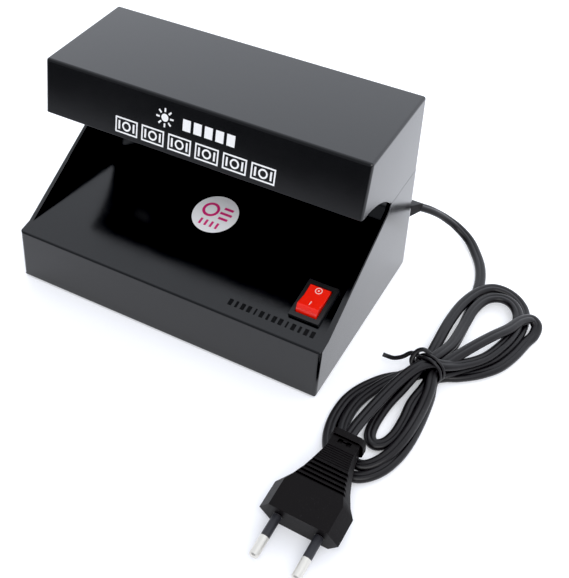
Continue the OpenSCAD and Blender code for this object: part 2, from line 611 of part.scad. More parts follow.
// Flat lead from the relief to the tied bow, through points chosen by hand
lead_points = [[78.6, 69, 23], [82, 72, 21], [86.5, 76, 17.5], [92, 80.8, 11.8], [99, 83, 6.4],
    [107, 80, 3.2], [113.5, 73, 2], [118.6, 65, 1.9], [122, 56, 1.9], [123.8, 46, 1.9]];
plug_lead_points = [[107.7, -72, 11.3], [108, -66, 10.8], [109, -58, 10], [110.5, -48, 9.6], [113, -38, 9.8],
    [117, -27, 10.5]];
module mains_lead() color([0.07, 0.07, 0.07]) {
    tube(smooth(lead_points, 3), lead_w, lead_t);
    tube(smooth(plug_lead_points, 2), lead_w, lead_t);
}

// The tied bow of spare lead: the outer shape of its loops on each side of the tie
tie_at = [123, -15];
bow_h = 8;
module bow_side(ends) hull() for (e = ends) translate([e[0], e[1], 0]) cylinder(r = e[2], h = e[3], $fn = 32);
module lead_loops_back() color([0.07, 0.07, 0.07])
    bow_side([[138, 35, 20, bow_h], [144, 20, 14, bow_h], [tie_at[0] + 1, tie_at[1] + 3, 6, 12]]);
module lead_loops_front() color([0.08, 0.08, 0.08])
    bow_side([[112, -64, 17, 4.4], [113, -48, 16, bow_h], [tie_at[0] - 2, tie_at[1] - 3, 6, 12]]);

// Wire tie round the middle of the bow, twisted into a knot with a short tail
tie_turn = 62; // direction of the bow at the tie, in degrees from +X
tie_r = 7;
tie_d = 1.6;
module lead_tie() color([0.04, 0.04, 0.04]) {
    translate([tie_at[0], tie_at[1], tie_r + tie_d / 2]) rotate([90, 0, tie_turn - 90])
        rotate_extrude() translate([tie_r, 0]) circle(d = tie_d, $fn = 24);
    tube(smooth([[120, -12, 14], [116, -12, 14.5], [112, -13, 12], [107, -16, 8], [101, -17, 6]], 3),
        2.2, 1.4);
}

// Plug: a flat two-pin body with a ribbed neck, tilted a little towards its pins
plug_at = [107.5, -114.5];
plug_turn = -1.5;
plug_tilt = 6;
plug_z = plug_t / 2 * cos(plug_tilt) + 0.05;
module on_plug() translate([plug_at[0], plug_at[1], plug_z]) rotate([0, 0, plug_turn])
    rotate([plug_tilt, 0, 0]) children();
plug_flat_w = 26.1;
plug_front_l = 12.5;
plug_neck = [12.4, 9, 36.4]; // width and height of the neck, and where it starts
plug_neck_l = 5.6;
plug_flange = [41, 3]; // where the flange starts, and its thickness
flange_r = 2.7;
flange_corner = [4.8, 2.9]; // middle of each rounded corner
slot_y = 39.2; // marking slot across the neck
// Width, width of the flat and distance behind the front, from the shoulder to the neck
plug_waist = [[plug_w, plug_flat_w, plug_front_l], [29, 22.6, 16.5], [23.6, 18.6, 21.5], [19.4, 15.6, 27],
    [15.6, 12.8, 33], [13.4, 11.4, 38]];
rib_count = 5;
rib_pitch = 2.1;
rib_start = 17.6;
rib_w = 1.1;
rib_deep = 1.2;
fine_count = 8;
fine_pitch = 1.05;
fine_start = 28;
fine_w = 0.4;
fine_deep = 0.3;
module plug_section(w, flat, t, y) translate([0, y, 0]) rotate([90, 0, 0]) linear_extrude(0.1)
    polygon([[-w / 2, 0], [-flat / 2, t / 2], [flat / 2, t / 2], [w / 2, 0], [flat / 2, -t / 2],
        [-flat / 2, -t / 2]]);
// Half thickness of the plug at a distance behind its front, by straight steps
plug_steps = [[plug_front_l, plug_t / 2], [27, 5.7], [37, 4.7], [45, 4.7]];
// One groove across the plug's upper (s = 1) or lower face, w wide and deep below the face
module rib_cut(y, s, w, deep)
    translate([0, y, s * (lookup(y, plug_steps) - deep + 3)]) cube([40, w, 6], center = true);
module plug_body() color([0.14, 0.14, 0.15]) on_plug() difference() {
    union() {
        hull() {
            plug_section(plug_w, plug_flat_w, plug_t, 0.1);
            plug_section(plug_w, plug_flat_w, plug_t, plug_front_l);
        }
        for (i = [0:len(plug_waist) - 2]) hull() for (q = [plug_waist[i], plug_waist[i + 1]])
            plug_section(q[0], q[1], 2 * lookup(q[2], plug_steps), q[2]);
        translate([-plug_neck[0] / 2, plug_neck[2], -plug_neck[1] / 2])
            cube([plug_neck[0], plug_neck_l, plug_neck[1]]);
        hull() for (s = [-1, 1]) for (t = [-1, 1])
            translate([s * flange_corner[0], plug_flange[0] + plug_flange[1], t * flange_corner[1]])
                rotate([90, 0, 0]) cylinder(r = flange_r, h = plug_flange[1]);
    }
    for (i = [0:rib_count - 1]) for (s = [-1, 1])
        rib_cut(rib_start + i * rib_pitch, s, rib_w, rib_deep);
    for (i = [0:fine_count - 1]) for (s = [-1, 1])
        rib_cut(fine_start + i * fine_pitch, s, fine_w, fine_deep);
    for (s = [-1, 1]) translate([s * 1.9, slot_y, plug_neck[1] / 2]) cube([2, 1.8, 2.4], center = true);
    translate([0, slot_y, plug_neck[1] / 2]) cube([2.2, 0.6, 1.6], center = true);
    for (s = [-1, 1]) translate([s * pin_pitch / 2, -eps, 0]) rotate([-90, 0, 0])
        cylinder(d = pin_d, h = 11 + eps);
}
module plug_pins() color([0.82, 0.8, 0.76]) on_plug() for (s = [-1, 1])
    translate([s * pin_pitch / 2, 0, 0]) {
        translate([0, 11, 0]) rotate([90, 0, 0]) cylinder(d = pin_d, h = 11);
        rotate([90, 0, 0]) cylinder(d = pin_d - 1, h = sleeve_len + 0.1);
        translate([0, -sleeve_len, 0]) rotate([90, 0, 0]) cylinder(d = pin_d, h = pin_len - sleeve_len - 0.6);
        translate([0, -pin_len + 0.6, 0]) rotate([90, 0, 0]) cylinder(d1 = pin_d, d2 = pin_d - 1.2, h = 0.6);
    }
module plug_sleeves() color([0.2, 0.2, 0.21]) on_plug() for (s = [-1, 1])
    translate([s * pin_pitch / 2, 0, 0]) rotate([90, 0, 0]) difference() {
        cylinder(d = pin_d - 0.1, h = sleeve_len);
        translate([0, 0, -eps]) cylinder(d = pin_d - 1, h = sleeve_len + 2 * eps);
    }

lower_shell();
upper_shell();
bottom_cover();
rubber_feet();
cover_screws();
shell_screws();
reflector();
reflector_screws();
lamp_holder_left();
lamp_holder_right();
holder_contacts();
holder_screws();
lamp_rotors();
lamp_glass();
lamp_caps();
lamp_pins();
switch_housing();
switch_terminals();
switch_rocker();
rocker_marks();
rocker_plunger();
circuit_board();
board_posts();
board_screws();
inductor_core();
inductor_winding();
filter_capacitor();
film_capacitors();
transistors();
resistors();
fuse();
lamp_leads();
switch_leads();
lead_clamp();
clamp_screws();
lead_tail();
strain_relief();
front_print();
round_sticker();
sticker_marks();
mains_lead();
lead_loops_back();
lead_loops_front();
lead_tie();
plug_body();
plug_sleeves();
plug_pins();
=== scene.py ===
import math
import bpy
from mathutils import Vector, Matrix


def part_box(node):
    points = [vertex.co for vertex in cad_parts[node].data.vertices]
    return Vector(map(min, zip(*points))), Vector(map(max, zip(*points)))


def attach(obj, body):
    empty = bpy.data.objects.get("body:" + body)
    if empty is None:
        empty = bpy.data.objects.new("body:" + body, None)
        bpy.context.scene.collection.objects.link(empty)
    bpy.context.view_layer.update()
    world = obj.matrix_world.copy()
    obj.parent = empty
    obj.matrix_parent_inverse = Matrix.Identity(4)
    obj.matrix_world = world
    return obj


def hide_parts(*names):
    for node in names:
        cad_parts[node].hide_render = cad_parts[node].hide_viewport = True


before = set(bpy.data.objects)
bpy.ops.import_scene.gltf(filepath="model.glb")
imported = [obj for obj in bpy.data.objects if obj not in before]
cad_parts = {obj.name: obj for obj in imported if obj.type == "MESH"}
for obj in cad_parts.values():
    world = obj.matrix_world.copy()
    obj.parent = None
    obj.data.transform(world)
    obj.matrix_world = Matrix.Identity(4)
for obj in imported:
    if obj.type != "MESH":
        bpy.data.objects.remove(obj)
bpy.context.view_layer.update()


# Camera
# A single still camera stands in front and to the right of the housing and looks down on it.
# Its lens has no shift and everything is in focus.
CAMERA_PLACE = (0.1877, -0.2819, 0.3248)
CAMERA_YAW = math.radians(27.68)
CAMERA_PITCH = math.radians(45.18)
CAMERA_ROLL = math.radians(0.88)
FOCAL_LENGTH = 56.9
FILM_HEIGHT = 36
NEAREST_SEEN = 0.01


def add_camera():
    level = math.cos(CAMERA_PITCH)
    forward = Vector((-math.sin(CAMERA_YAW) * level, math.cos(CAMERA_YAW) * level, -math.sin(CAMERA_PITCH)))
    right = forward.cross(Vector((0, 0, 1))).normalized()
    up = right.cross(forward)
    side = math.cos(CAMERA_ROLL) * right + math.sin(CAMERA_ROLL) * up
    top = -math.sin(CAMERA_ROLL) * right + math.cos(CAMERA_ROLL) * up
    turn = Matrix((side, top, -forward)).transposed().to_4x4()
    bpy.ops.object.camera_add()
    camera = bpy.context.object
    camera.name = "camera"
    camera.matrix_world = Matrix.Translation(CAMERA_PLACE) @ turn
    camera.data.lens = FOCAL_LENGTH
    camera.data.sensor_fit = "VERTICAL"
    camera.data.sensor_height = FILM_HEIGHT
    camera.data.clip_start = NEAREST_SEEN
    bpy.context.scene.camera = camera


add_camera()


# Mains lead
# One flat two-core lead in soft black vinyl runs from the back of the housing, through a tied
# bow of spare length, to the plug. It is extruded in one go, with a groove between its cores.
MM = 0.001
LEAD_W = 5.4 * MM
LEAD_T = 3.3 * MM
LEAD_GROOVE = 0.22 * MM
CORE_SIDES = 8
STEPS_BETWEEN_POINTS = 6
SMOOTH_BELOW = math.radians(50)
# Where the lead crosses the tie: left and right columns from the table up, and one strand on top
LEFT = [(119.3, -15, 1.9), (119.2, -15, 5.1), (119.6, -15.2, 8.4)]
RIGHT = [(125.6, -17, 1.9), (125.7, -17, 5.2), (125.3, -17, 8.5)]
TOP = (122.5, -16, 11.6)
LEAD_OUT = [(78.6, 69, 23), (82, 72, 21), (86.5, 76, 17.5), (92, 80.8, 11.8), (99, 83, 6.4),
            (107, 80, 3.2), (113.5, 73, 2), (118.6, 65, 1.9), (122, 56, 1.9), (123.8, 46, 1.9),
            (125.2, 32, 1.9), (126, 16, 1.9), (125.2, 2, 1.9)]
LOOP_FRONT_OUTER = [(113.8, -20.5, 2.6), (106, -27, 2.5), (99.8, -35.5, 2.2), (96.2, -44, 1.9),
                    (95.2, -53, 1.9), (96, -62, 1.9), (99, -70.5, 1.9), (104.5, -77.2, 1.9),
                    (111, -80.6, 1.9), (118, -79.4, 1.9), (124, -73, 1.9), (127.5, -64, 1.9),
                    (129, -54, 1.9), (129, -42, 1.9), (127.8, -28, 1.9)]
STRAND_TOP = [(129, -12.5, 1.9), (135, -9, 1.9), (142.5, -3, 1.9), (149, 5, 1.9), (153, 15, 1.9),
              (155.3, 25, 1.9), (157.3, 31.5, 2.4), (156.9, 37, 3.6), (153.4, 38.6, 5.1),
              (149.6, 33.4, 6.9), (146.4, 24.4, 8.4), (141.4, 15, 9.6), (135.6, 4, 9.9),
              (130, -7, 9.4)]
LOOP_FRONT_SECOND = [(127, -27, 6.8), (127.6, -38, 5.2), (127, -53, 4.8), (124, -65, 3.4),
                     (118.5, -72.6, 2), (112.5, -74, 1.9), (106.8, -70.4, 1.9), (102.4, -64, 2.2),
                     (100.4, -56, 2.6), (100.8, -47, 3.2), (103.4, -39, 4), (107.6, -31, 5),
                     (113.4, -22.6, 5.2)]
LOOP_BACK_OUTER = [(119.6, -4, 5.4), (119.4, 9, 5.4), (119.6, 20, 5.4), (121, 32, 5.4),
                   (124.4, 42.4, 5.3), (129.4, 49, 5.2), (135.6, 51, 4.6), (142, 50.4, 3),
                   (147.3, 46.5, 2), (150.2, 40, 1.9), (151, 30, 1.9), (149.4, 20, 1.9),
                   (145.4, 9, 1.9), (139.6, 0.5, 2.2), (132.8, -8, 3.8)]
LOOP_FRONT_INNER = [(124, -26, 4.6), (122.6, -35, 4), (123, -44, 3.4), (122.5, -53, 2.6),
                    (120.2, -59.2, 2.2), (116.4, -61.6, 2.1), (113, -58.6, 2.1), (112, -51.4, 2.4),
                    (113, -41, 3.8), (115.5, -32, 5.8), (117.8, -23.5, 8)]
LOOP_BACK_INNER = [(123.6, -6, 8.4), (126.2, 4, 7.2), (126.6, 18, 5.8), (127, 31, 5.4),
                   (130, 40.6, 5.2), (136, 45, 5.2), (142.6, 43.6, 5.2), (147.4, 37, 5.2),
                   (148.6, 27, 5.2), (146.6, 16, 5.2), (142, 4, 5.6), (135, -6, 7.6),
                   (129, -12.5, 10)]
LEAD_TO_PLUG = [(117.6, -22.5, 11.6), (114, -32, 10.9), (111.2, -43, 10.4), (109, -55, 10.4),
                (107.9, -64, 10.9), (107.6, -71.6, 11.4)]
LEAD_PATH = (LEAD_OUT + [LEFT[0]] + LOOP_FRONT_OUTER + [RIGHT[0]] + STRAND_TOP + [RIGHT[2]]
             + LOOP_FRONT_SECOND + [LEFT[1]] + LOOP_BACK_OUTER + [RIGHT[1]] + LOOP_FRONT_INNER
             + [LEFT[2]] + LOOP_BACK_INNER + [TOP] + LEAD_TO_PLUG)


def metres(points):
    return [Vector(p) * MM for p in points]


def between(a, b, c, d, t):
    """A place on the smooth line from b to c, whose neighbours are a and d. t runs from 0 to 1."""
    return 0.5 * (2 * b + (c - a) * t + (2 * a - 5 * b + 4 * c - d) * t * t
                  + (3 * b - a - 3 * c + d) * t * t * t)


def smooth_line(points, steps):
    """A line through all the points, with some steps between each two of them."""
    last = len(points) - 1
    line = []
    for i in range(last):
        four = [points[min(max(i + k, 0), last)] for k in (-1, 0, 1, 2)]
        line += [between(*four, s / steps) for s in range(steps)]
    return line + [points[last]]


def select_only(obj):
    bpy.ops.object.select_all(action="DESELECT")
    bpy.context.view_layer.objects.active = obj
    obj.select_set(True)


def outline_curve(name, outline):
    """A closed flat outline that another curve can be swept with."""
    curve = bpy.data.curves.new(name, "CURVE")
    curve.dimensions = "2D"
    spline = curve.splines.new("POLY")
    spline.points.add(len(outline) - 1)
    for point, (x, y) in zip(spline.points, outline):
        point.co = (x, y, 0, 1)
    spline.use_cyclic_u = True
    obj = bpy.data.objects.new(name, curve)
    bpy.context.collection.objects.link(obj)
    return obj


def swept(name, line, outline):
    """A mesh made by moving an outline along a line, kept upright, with closed ends."""
    curve = bpy.data.curves.new(name, "CURVE")
    curve.dimensions = "3D"
    curve.twist_mode = "Z_UP"
    spline = curve.splines.new("POLY")
    spline.points.add(len(line) - 1)
    for point, place in zip(spline.points, line):
        point.co = (*place, 1)
    profile = outline_curve(name + "_outline", outline)
    curve.bevel_mode = "OBJECT"
    curve.bevel_object = profile
    curve.use_fill_caps = True
    obj = bpy.data.objects.new(name, curve)
    bpy.context.collection.objects.link(obj)
    select_only(obj)
    bpy.ops.object.convert(target="MESH")
    bpy.data.objects.remove(profile)
    obj = bpy.context.object
    obj.name = name
    bpy.ops.object.shade_smooth_by_angle(angle=SMOOTH_BELOW)
    return obj


def lead_outline():
    """Two round cores side by side, with a groove between them that deepens towards the middle."""
    r = LEAD_T / 2
    middle = LEAD_W / 2 - r
    angles = [math.radians(-90 + 180 / CORE_SIDES * k) for k in range(CORE_SIDES + 1)]
    right = [(middle + r * math.cos(a), r * math.sin(a)) for a in angles]
    top = [(middle * 0.55, r * 0.99), (middle * 0.2, r - LEAD_GROOVE * 0.75), (0, r - LEAD_GROOVE)]
    left_half = [(-x, y) for x, y in reversed(right)]
    above = top + [(-x, y) for x, y in reversed(top[:2])]
    below = [(x, -y) for x, y in reversed(above)]
    return right + above + left_half + below


lead_line = smooth_line(metres(LEAD_PATH), STEPS_BETWEEN_POINTS)
lead = swept("lead", lead_line, lead_outline())


HIGHEST_INPUT = 1000
PATCH_SCALE = 35
SPECK_SCALE = 1400
GRAIN_DEPTH = 0.05 * MM
DUST_GREY = (0.5, 0.5, 0.5, 1)


def new_group(name, inputs, outputs):
    """A shader node group with number inputs and (name, type) outputs, and its two end nodes."""
    tree = bpy.data.node_groups.new(name, "ShaderNodeTree")
    for label, default in inputs:
        socket = tree.interface.new_socket(label, in_out="INPUT", socket_type="NodeSocketFloat")
        socket.default_value = default
        socket.min_value = 0
        socket.max_value = HIGHEST_INPUT
    for label, kind in outputs:
        tree.interface.new_socket(label, in_out="OUTPUT", socket_type=kind)
    return tree, tree.nodes.new("NodeGroupInput"), tree.nodes.new("NodeGroupOutput")


def node_in(tree, kind, **settings):
    node = tree.nodes.new(kind)
    for key, value in settings.items():
        setattr(node, key, value)
    return node


def set_inputs(node, **values):
    for key, value in values.items():
        node.inputs[key.replace("_", " ")].default_value = value


def scaled_noise(tree, vector, scale, detail):
    """Noise of the object's own coordinates."""
    noise = node_in(tree, "ShaderNodeTexNoise")
    set_inputs(noise, Scale=scale, Detail=detail, Roughness=0.6)
    tree.links.new(vector, noise.inputs["Vector"])
    return noise.outputs["Fac"]


def mapped(tree, value, low, high, to_low, to_high):
    """A value between low and high, brought to between to_low and to_high."""
    node = node_in(tree, "ShaderNodeMapRange")
    set_inputs(node, From_Min=low, From_Max=high, To_Min=to_low, To_Max=to_high)
    tree.links.new(value, node.inputs["Value"])
    return node.outputs["Result"]


def maths(tree, operation, a, b):
    """One operation on two values, each of them a number or another node's output."""
    node = node_in(tree, "ShaderNodeMath", operation=operation)
    for socket, value in zip(node.inputs, (a, b)):
        if isinstance(value, (int, float)):
            socket.default_value = value
        else:
            tree.links.new(value, socket)
    return node.outputs["Value"]


def surface_group():
    """Wear that every moulded or metal surface has: patchy gloss, dust specks and a fine relief."""
    tree, start, end = new_group(
        "surface_wear",
        inputs=[("Roughness", 0.2), ("Patchiness", 0.05), ("Grain scale", 900), ("Grain height", 0.1),
                ("Dust", 0.02)],
        outputs=[("Roughness", "NodeSocketFloat"), ("Dust", "NodeSocketFloat"),
                 ("Normal", "NodeSocketVector")])
    coordinates = node_in(tree, "ShaderNodeTexCoord").outputs["Object"]
    patches = scaled_noise(tree, coordinates, PATCH_SCALE, detail=4)
    uneven = mapped(tree, patches, 0.3, 0.7, -1, 1)
    patchy = maths(tree, "MULTIPLY", uneven, start.outputs["Patchiness"])
    tree.links.new(maths(tree, "ADD", start.outputs["Roughness"], patchy), end.inputs["Roughness"])
    specks = scaled_noise(tree, coordinates, SPECK_SCALE, detail=1)
    sparse = maths(tree, "MULTIPLY", mapped(tree, specks, 0.68, 0.76, 0, 1),
                   mapped(tree, patches, 0.4, 0.7, 0.2, 1))
    tree.links.new(maths(tree, "MULTIPLY", sparse, start.outputs["Dust"]), end.inputs["Dust"])
    grain = node_in(tree, "ShaderNodeTexNoise")
    grain.inputs["Detail"].default_value = 3
    tree.links.new(coordinates, grain.inputs["Vector"])
    tree.links.new(start.outputs["Grain scale"], grain.inputs["Scale"])
    bump = node_in(tree, "ShaderNodeBump")
    bump.inputs["Distance"].default_value = GRAIN_DEPTH
    tree.links.new(start.outputs["Grain height"], bump.inputs["Strength"])
    tree.links.new(grain.outputs["Fac"], bump.inputs["Height"])
    tree.links.new(bump.outputs["Normal"], end.inputs["Normal"])
    return tree


SURFACE = surface_group()


def new_material(name, color, wear, **principled):
    """A material with one principled shader, whose colour, gloss and relief come from the wear group."""
    material = bpy.data.materials.new(name)
    material.use_nodes = True
    tree = material.node_tree
    shader = tree.nodes["Principled BSDF"]
    set_inputs(shader, **principled)
    group = node_in(tree, "ShaderNodeGroup", node_tree=SURFACE)
    set_inputs(group, **wear)
    mix = node_in(tree, "ShaderNodeMix", data_type="RGBA")
    mix.inputs["A"].default_value = (*color, 1)
    mix.inputs["B"].default_value = DUST_GREY
    tree.links.new(group.outputs["Dust"], mix.inputs["Factor"])
    tree.links.new(mix.outputs["Result"], shader.inputs["Base Color"])
    tree.links.new(group.outputs["Roughness"], shader.inputs["Roughness"])
    tree.links.new(group.outputs["Normal"], shader.inputs["Normal"])
    return material


def paint(obj, material):
    obj.data.materials.clear()
    obj.data.materials.append(material)


lead_vinyl = new_material(
    "lead_vinyl", (0.009, 0.008, 0.0085),
    dict(Roughness=0.34, Patchiness=0.06, Grain_scale=500, Grain_height=0.35, Dust=0.06),
    Specular_IOR_Level=0.28)
paint(lead, lead_vinyl)
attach(lead, "housing")


# Strain relief, tie and plug
# The relief is a soft tapered boot through the rear wall. The plug is moulded round its two pins
# and the lead, with grip ribs behind its body. A thin black wire is twisted round the bow.
MERGE_WITHIN = 0.002 * MM
FLAT_WITHIN = math.radians(0.6)
SHARP_ABOVE = math.radians(25)
SHADE_SHARP_ABOVE = math.radians(32)


def clean_copy(node):
    """A copy of a CAD node's mesh with its loose triangles joined into whole flat faces."""
    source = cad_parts[node]
    obj = source.copy()
    obj.data = source.data.copy()
    obj.name = node + "_shape"
    bpy.context.collection.objects.link(obj)
    select_only(obj)
    bpy.ops.object.mode_set(mode="EDIT")
    bpy.ops.mesh.select_all(action="SELECT")
    bpy.ops.mesh.remove_doubles(threshold=MERGE_WITHIN)
    bpy.ops.mesh.dissolve_limited(angle_limit=FLAT_WITHIN)
    bpy.ops.mesh.normals_make_consistent(inside=False)
    bpy.ops.object.mode_set(mode="OBJECT")
    return obj


def faces_at_edges(mesh):
    """The normals of the faces that meet at each edge."""
    normals = {}
    for polygon in mesh.polygons:
        for key in polygon.edge_keys:
            normals.setdefault(key, []).append(polygon.normal.copy())
    return normals


def is_sharp(normals):
    return len(normals) == 2 and normals[0].angle(normals[1], 0) > SHARP_ABOVE


def whole(middle, direction):
    """The share of the width for a piece whose edges are all rounded alike."""
    return 1


def rounded(obj, width, share=whole, segments=2):
    """Rounds an object's sharp edges. share(middle, direction) gives each edge's share of width."""
    mesh = obj.data
    normals = faces_at_edges(mesh)
    weights = mesh.attributes.new("bevel_weight_edge", "FLOAT", "EDGE")
    for edge in mesh.edges:
        if is_sharp(normals.get(edge.key, [])):
            a, b = (mesh.vertices[i].co for i in edge.vertices)
            weights.data[edge.index].value = share((a + b) / 2, (b - a).normalized())
    select_only(obj)
    bevel = obj.modifiers.new("edges", "BEVEL")
    bevel.limit_method = "WEIGHT"
    bevel.width = width
    bevel.segments = segments
    bpy.ops.object.modifier_apply(modifier="edges")
    bpy.ops.object.shade_smooth_by_angle(angle=SHADE_SHARP_ABOVE)
    weighted = obj.modifiers.new("flat_faces", "WEIGHTED_NORMAL")
    weighted.keep_sharp = True
    bpy.ops.object.modifier_apply(modifier="flat_faces")
    return obj


def finished(obj, material, body, slot, *nodes):
    """Gives a piece its material and its body, and hides the CAD nodes it stands for. The slot is not used.
    """
    paint(obj, material)
    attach(obj, body)
    if nodes:
        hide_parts(*nodes)
    return obj


RELIEF_EDGE = 0.5 * MM
PLUG_EDGE = 0.6 * MM
plug_vinyl = new_material(
    "plug_vinyl", (0.007, 0.006, 0.006),
    dict(Roughness=0.5, Patchiness=0.06, Grain_scale=1600, Grain_height=0.9, Dust=0.04),
    Specular_IOR_Level=0.1)
pin_nickel = new_material(
    "pin_nickel", (0.64, 0.62, 0.57),
    dict(Roughness=0.36, Patchiness=0.08, Grain_scale=2500, Grain_height=0.15, Dust=0.02),
    Metallic=1.0)
sleeve_grey = new_material(
    "sleeve_grey", (0.022, 0.022, 0.026),
    dict(Roughness=0.45, Patchiness=0.05, Grain_scale=1600, Grain_height=0.3, Dust=0.03),
    Specular_IOR_Level=0.3)
finished(rounded(clean_copy("strain_relief"), RELIEF_EDGE),
         plug_vinyl, "housing", "lead", "strain_relief")
plug = finished(rounded(clean_copy("plug_body"), PLUG_EDGE, segments=3),
                plug_vinyl, "housing", "plug", "plug_body")


def node_look(node, material):
    """A CAD node that is shown as it is."""
    paint(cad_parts[node], material)


node_look("plug_pins", pin_nickel)
node_look("plug_sleeves", sleeve_grey)
TIE_D = 1.6 * MM
TIE_AT = Vector((122.5, -16, 7.8)) * MM
TIE_R = 7 * MM
TIE_FLATNESS = 0.93
TIE_LEAN = 0.6 * MM
TIE_TURN = math.radians(-18)
TIE_STEPS = 40
WIRE_SIDES = 12
TAIL_STEPS = 5
TAIL_SHAPE = (1.5, 0.9)


def wire_outline(wide=1, high=1):
    """The tie wire's round outline, or a flattened one."""
    angles = [2 * math.pi * k / WIRE_SIDES for k in range(WIRE_SIDES)]
    return [(wide * TIE_D / 2 * math.cos(a), high * TIE_D / 2 * math.sin(a)) for a in angles]


def tie_ring(shift, squeeze):
    """One turn of the tie wire round the bow, a little squeezed and leaning."""
    line = []
    for k in range(TIE_STEPS + 1):
        a = 2 * math.pi * k / TIE_STEPS
        across = TIE_R * squeeze * math.cos(a)
        along = shift + TIE_LEAN * math.sin(a + 1)
        place = Vector((across * math.cos(TIE_TURN) - along * math.sin(TIE_TURN),
                        across * math.sin(TIE_TURN) + along * math.cos(TIE_TURN),
                        TIE_FLATNESS * TIE_R * math.sin(a)))
        line.append(TIE_AT + place)
    return line


tie_a = swept("tie_wire_a", tie_ring(-1.0 * MM, 0.98), wire_outline())
tie_b = swept("tie_wire_b", tie_ring(1.2 * MM, 1.0), wire_outline())
KNOT = [(121, -13, 14.2), (117.6, -12.4, 14.6), (115, -14, 13.4), (114.2, -17, 11), (115.6, -18.6, 9),
        (117, -17, 9.4), (116, -14.4, 11.6), (112.6, -14, 11.2), (109.4, -16, 8.8), (106, -17, 7),
        (103, -17, 6.4), (100.4, -17.2, 6.6)]
tail = swept("tie_tail", smooth_line(metres(KNOT), TAIL_STEPS), wire_outline(*TAIL_SHAPE))
select_only(tie_a)
tie_b.select_set(True)
tail.select_set(True)
bpy.ops.object.join()
tie = finished(tie_a, lead_vinyl, "housing", "lead", "lead_tie")
tie.name = "tie_wire"
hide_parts("mains_lead", "lead_loops_back", "lead_loops_front")


# Lower shell
# The base is one moulding in glossy black plastic: the deck that notes are laid on, two cheeks
# that rise to the joint line, and the front and rear walls. Its outer edges are softly rounded.
shell_plastic = new_material(
    "shell_plastic", (0.003, 0.003, 0.0033),
    dict(Roughness=0.13, Patchiness=0.03, Grain_scale=700, Grain_height=0.1, Dust=0.02))
matt_plastic = new_material(
    "matt_plastic", (0.002, 0.002, 0.0022),
    dict(Roughness=0.6, Patchiness=0.03, Grain_scale=1500, Grain_height=0.5, Dust=0.01),
    Specular_IOR_Level=0.2)
BASE_LOW, BASE_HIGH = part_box("lower_shell")
HALF_W = BASE_HIGH.x
SPLIT = BASE_HIGH.z
WALL = 2.3 * MM
SHELL_EDGE = 2 * MM
TOUCHING = 0.4 * MM
SIDE_DEPTH = 0.3 * MM
# Where the base's edges lie: the bottom rim, the front wall's lip and the cheeks above the deck
RIM_BELOW = 3.5 * MM
RIM_DEPTH = 0.5 * MM
LIP_DEPTH = 4.5 * MM
LIP_ABOVE = 20 * MM
CORNER_DEPTH = 4.2 * MM
CHEEK_ABOVE = 28 * MM
CHEEK_BEHIND = 10 * MM
BASE_SHARE = dict(joint=0.08, rim=0.2, lip=0.5, corner=1.0, side=0.3, inner=0.2)


def near(a, b):
    return abs(a - b) < TOUCHING


def at_side(middle):
    return abs(middle.x) > HALF_W - SIDE_DEPTH


def runs_across(direction):
    """Whether an edge runs from left to right."""
    return abs(direction.x) > 0.9


def base_share(middle, direction):
    """How much of the full rounding each edge of the base gets."""
    from_front = middle.y - BASE_LOW.y
    at_back = near(middle.y, BASE_HIGH.y)
    if near(middle.z, SPLIT):
        return BASE_SHARE["joint"] if at_side(middle) or at_back else 0
    if middle.z < RIM_BELOW:
        return BASE_SHARE["rim"] if at_side(middle) or at_back or from_front < RIM_DEPTH else 0
    if runs_across(direction):
        return BASE_SHARE["lip"] if from_front < LIP_DEPTH and middle.z > LIP_ABOVE else 0
    if at_side(middle):
        return BASE_SHARE["corner"] if at_back or from_front < CORNER_DEPTH else BASE_SHARE["side"]
    on_inner_wall = near(abs(middle.x), HALF_W - WALL)
    on_cheek = on_inner_wall and middle.z > CHEEK_ABOVE and from_front > CHEEK_BEHIND
    return BASE_SHARE["inner"] if on_cheek else 0


BAR_COUNT = 14
BAR_PITCH = 3.2 * MM
BAR_WIDTHS = (1.9, 1.2, 1.9, 1.9, 0.8)
BAR_LENGTH = 3.3 * MM
BAR_HEIGHT = 0.5 * MM
BAR_EDGE = 0.15 * MM
BARS_FROM_SWITCH = 4.2 * MM
FIRST_BAR_FROM_SWITCH = 42 * MM


def largest_sloping_face(shell):
    """The deck: the largest face that looks up and a little to the front."""
    sloping = [p for p in shell.data.polygons if p.normal.z > 0.95 and p.normal.y < -0.1]
    return max(sloping, key=lambda p: p.area)


def raised_marks(shell):
    """A row of plain raised bars moulded into the deck in front of the switch."""
    deck = largest_sloping_face(shell)
    slope = math.atan2(-deck.normal.y, deck.normal.z)
    switch_low, switch_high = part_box("switch_housing")
    y = switch_low.y - BARS_FROM_SWITCH
    z = deck.center.z + (y - deck.center.y) * math.tan(slope)
    bars = []
    for i in range(BAR_COUNT):
        x = switch_high.x - FIRST_BAR_FROM_SWITCH + i * BAR_PITCH
        width = BAR_WIDTHS[i % len(BAR_WIDTHS)] * MM
        bpy.ops.mesh.primitive_cube_add(size=1, location=(x, y, z), rotation=(slope, 0, 0),
                                        scale=(width, BAR_LENGTH, BAR_HEIGHT))
        bars.append(bpy.context.object)
    select_only(bars[0])
    for bar in bars:
        bar.select_set(True)
    bpy.ops.object.join()
    bpy.ops.object.transform_apply(location=True, rotation=True, scale=True)
    return rounded(bars[0], BAR_EDGE)


lower = finished(rounded(clean_copy("lower_shell"), SHELL_EDGE, base_share, segments=4),
                 shell_plastic, "housing", "shell", "lower_shell")
finished(raised_marks(lower), matt_plastic, "housing", "shell")


# Upper shell
# The head and the upper half of the back are a second moulding of the same plastic, set on the
# first along a fine joint line and screwed from below. Its top edges are softly rounded.
HEAD_LOW, HEAD_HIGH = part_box("upper_shell")
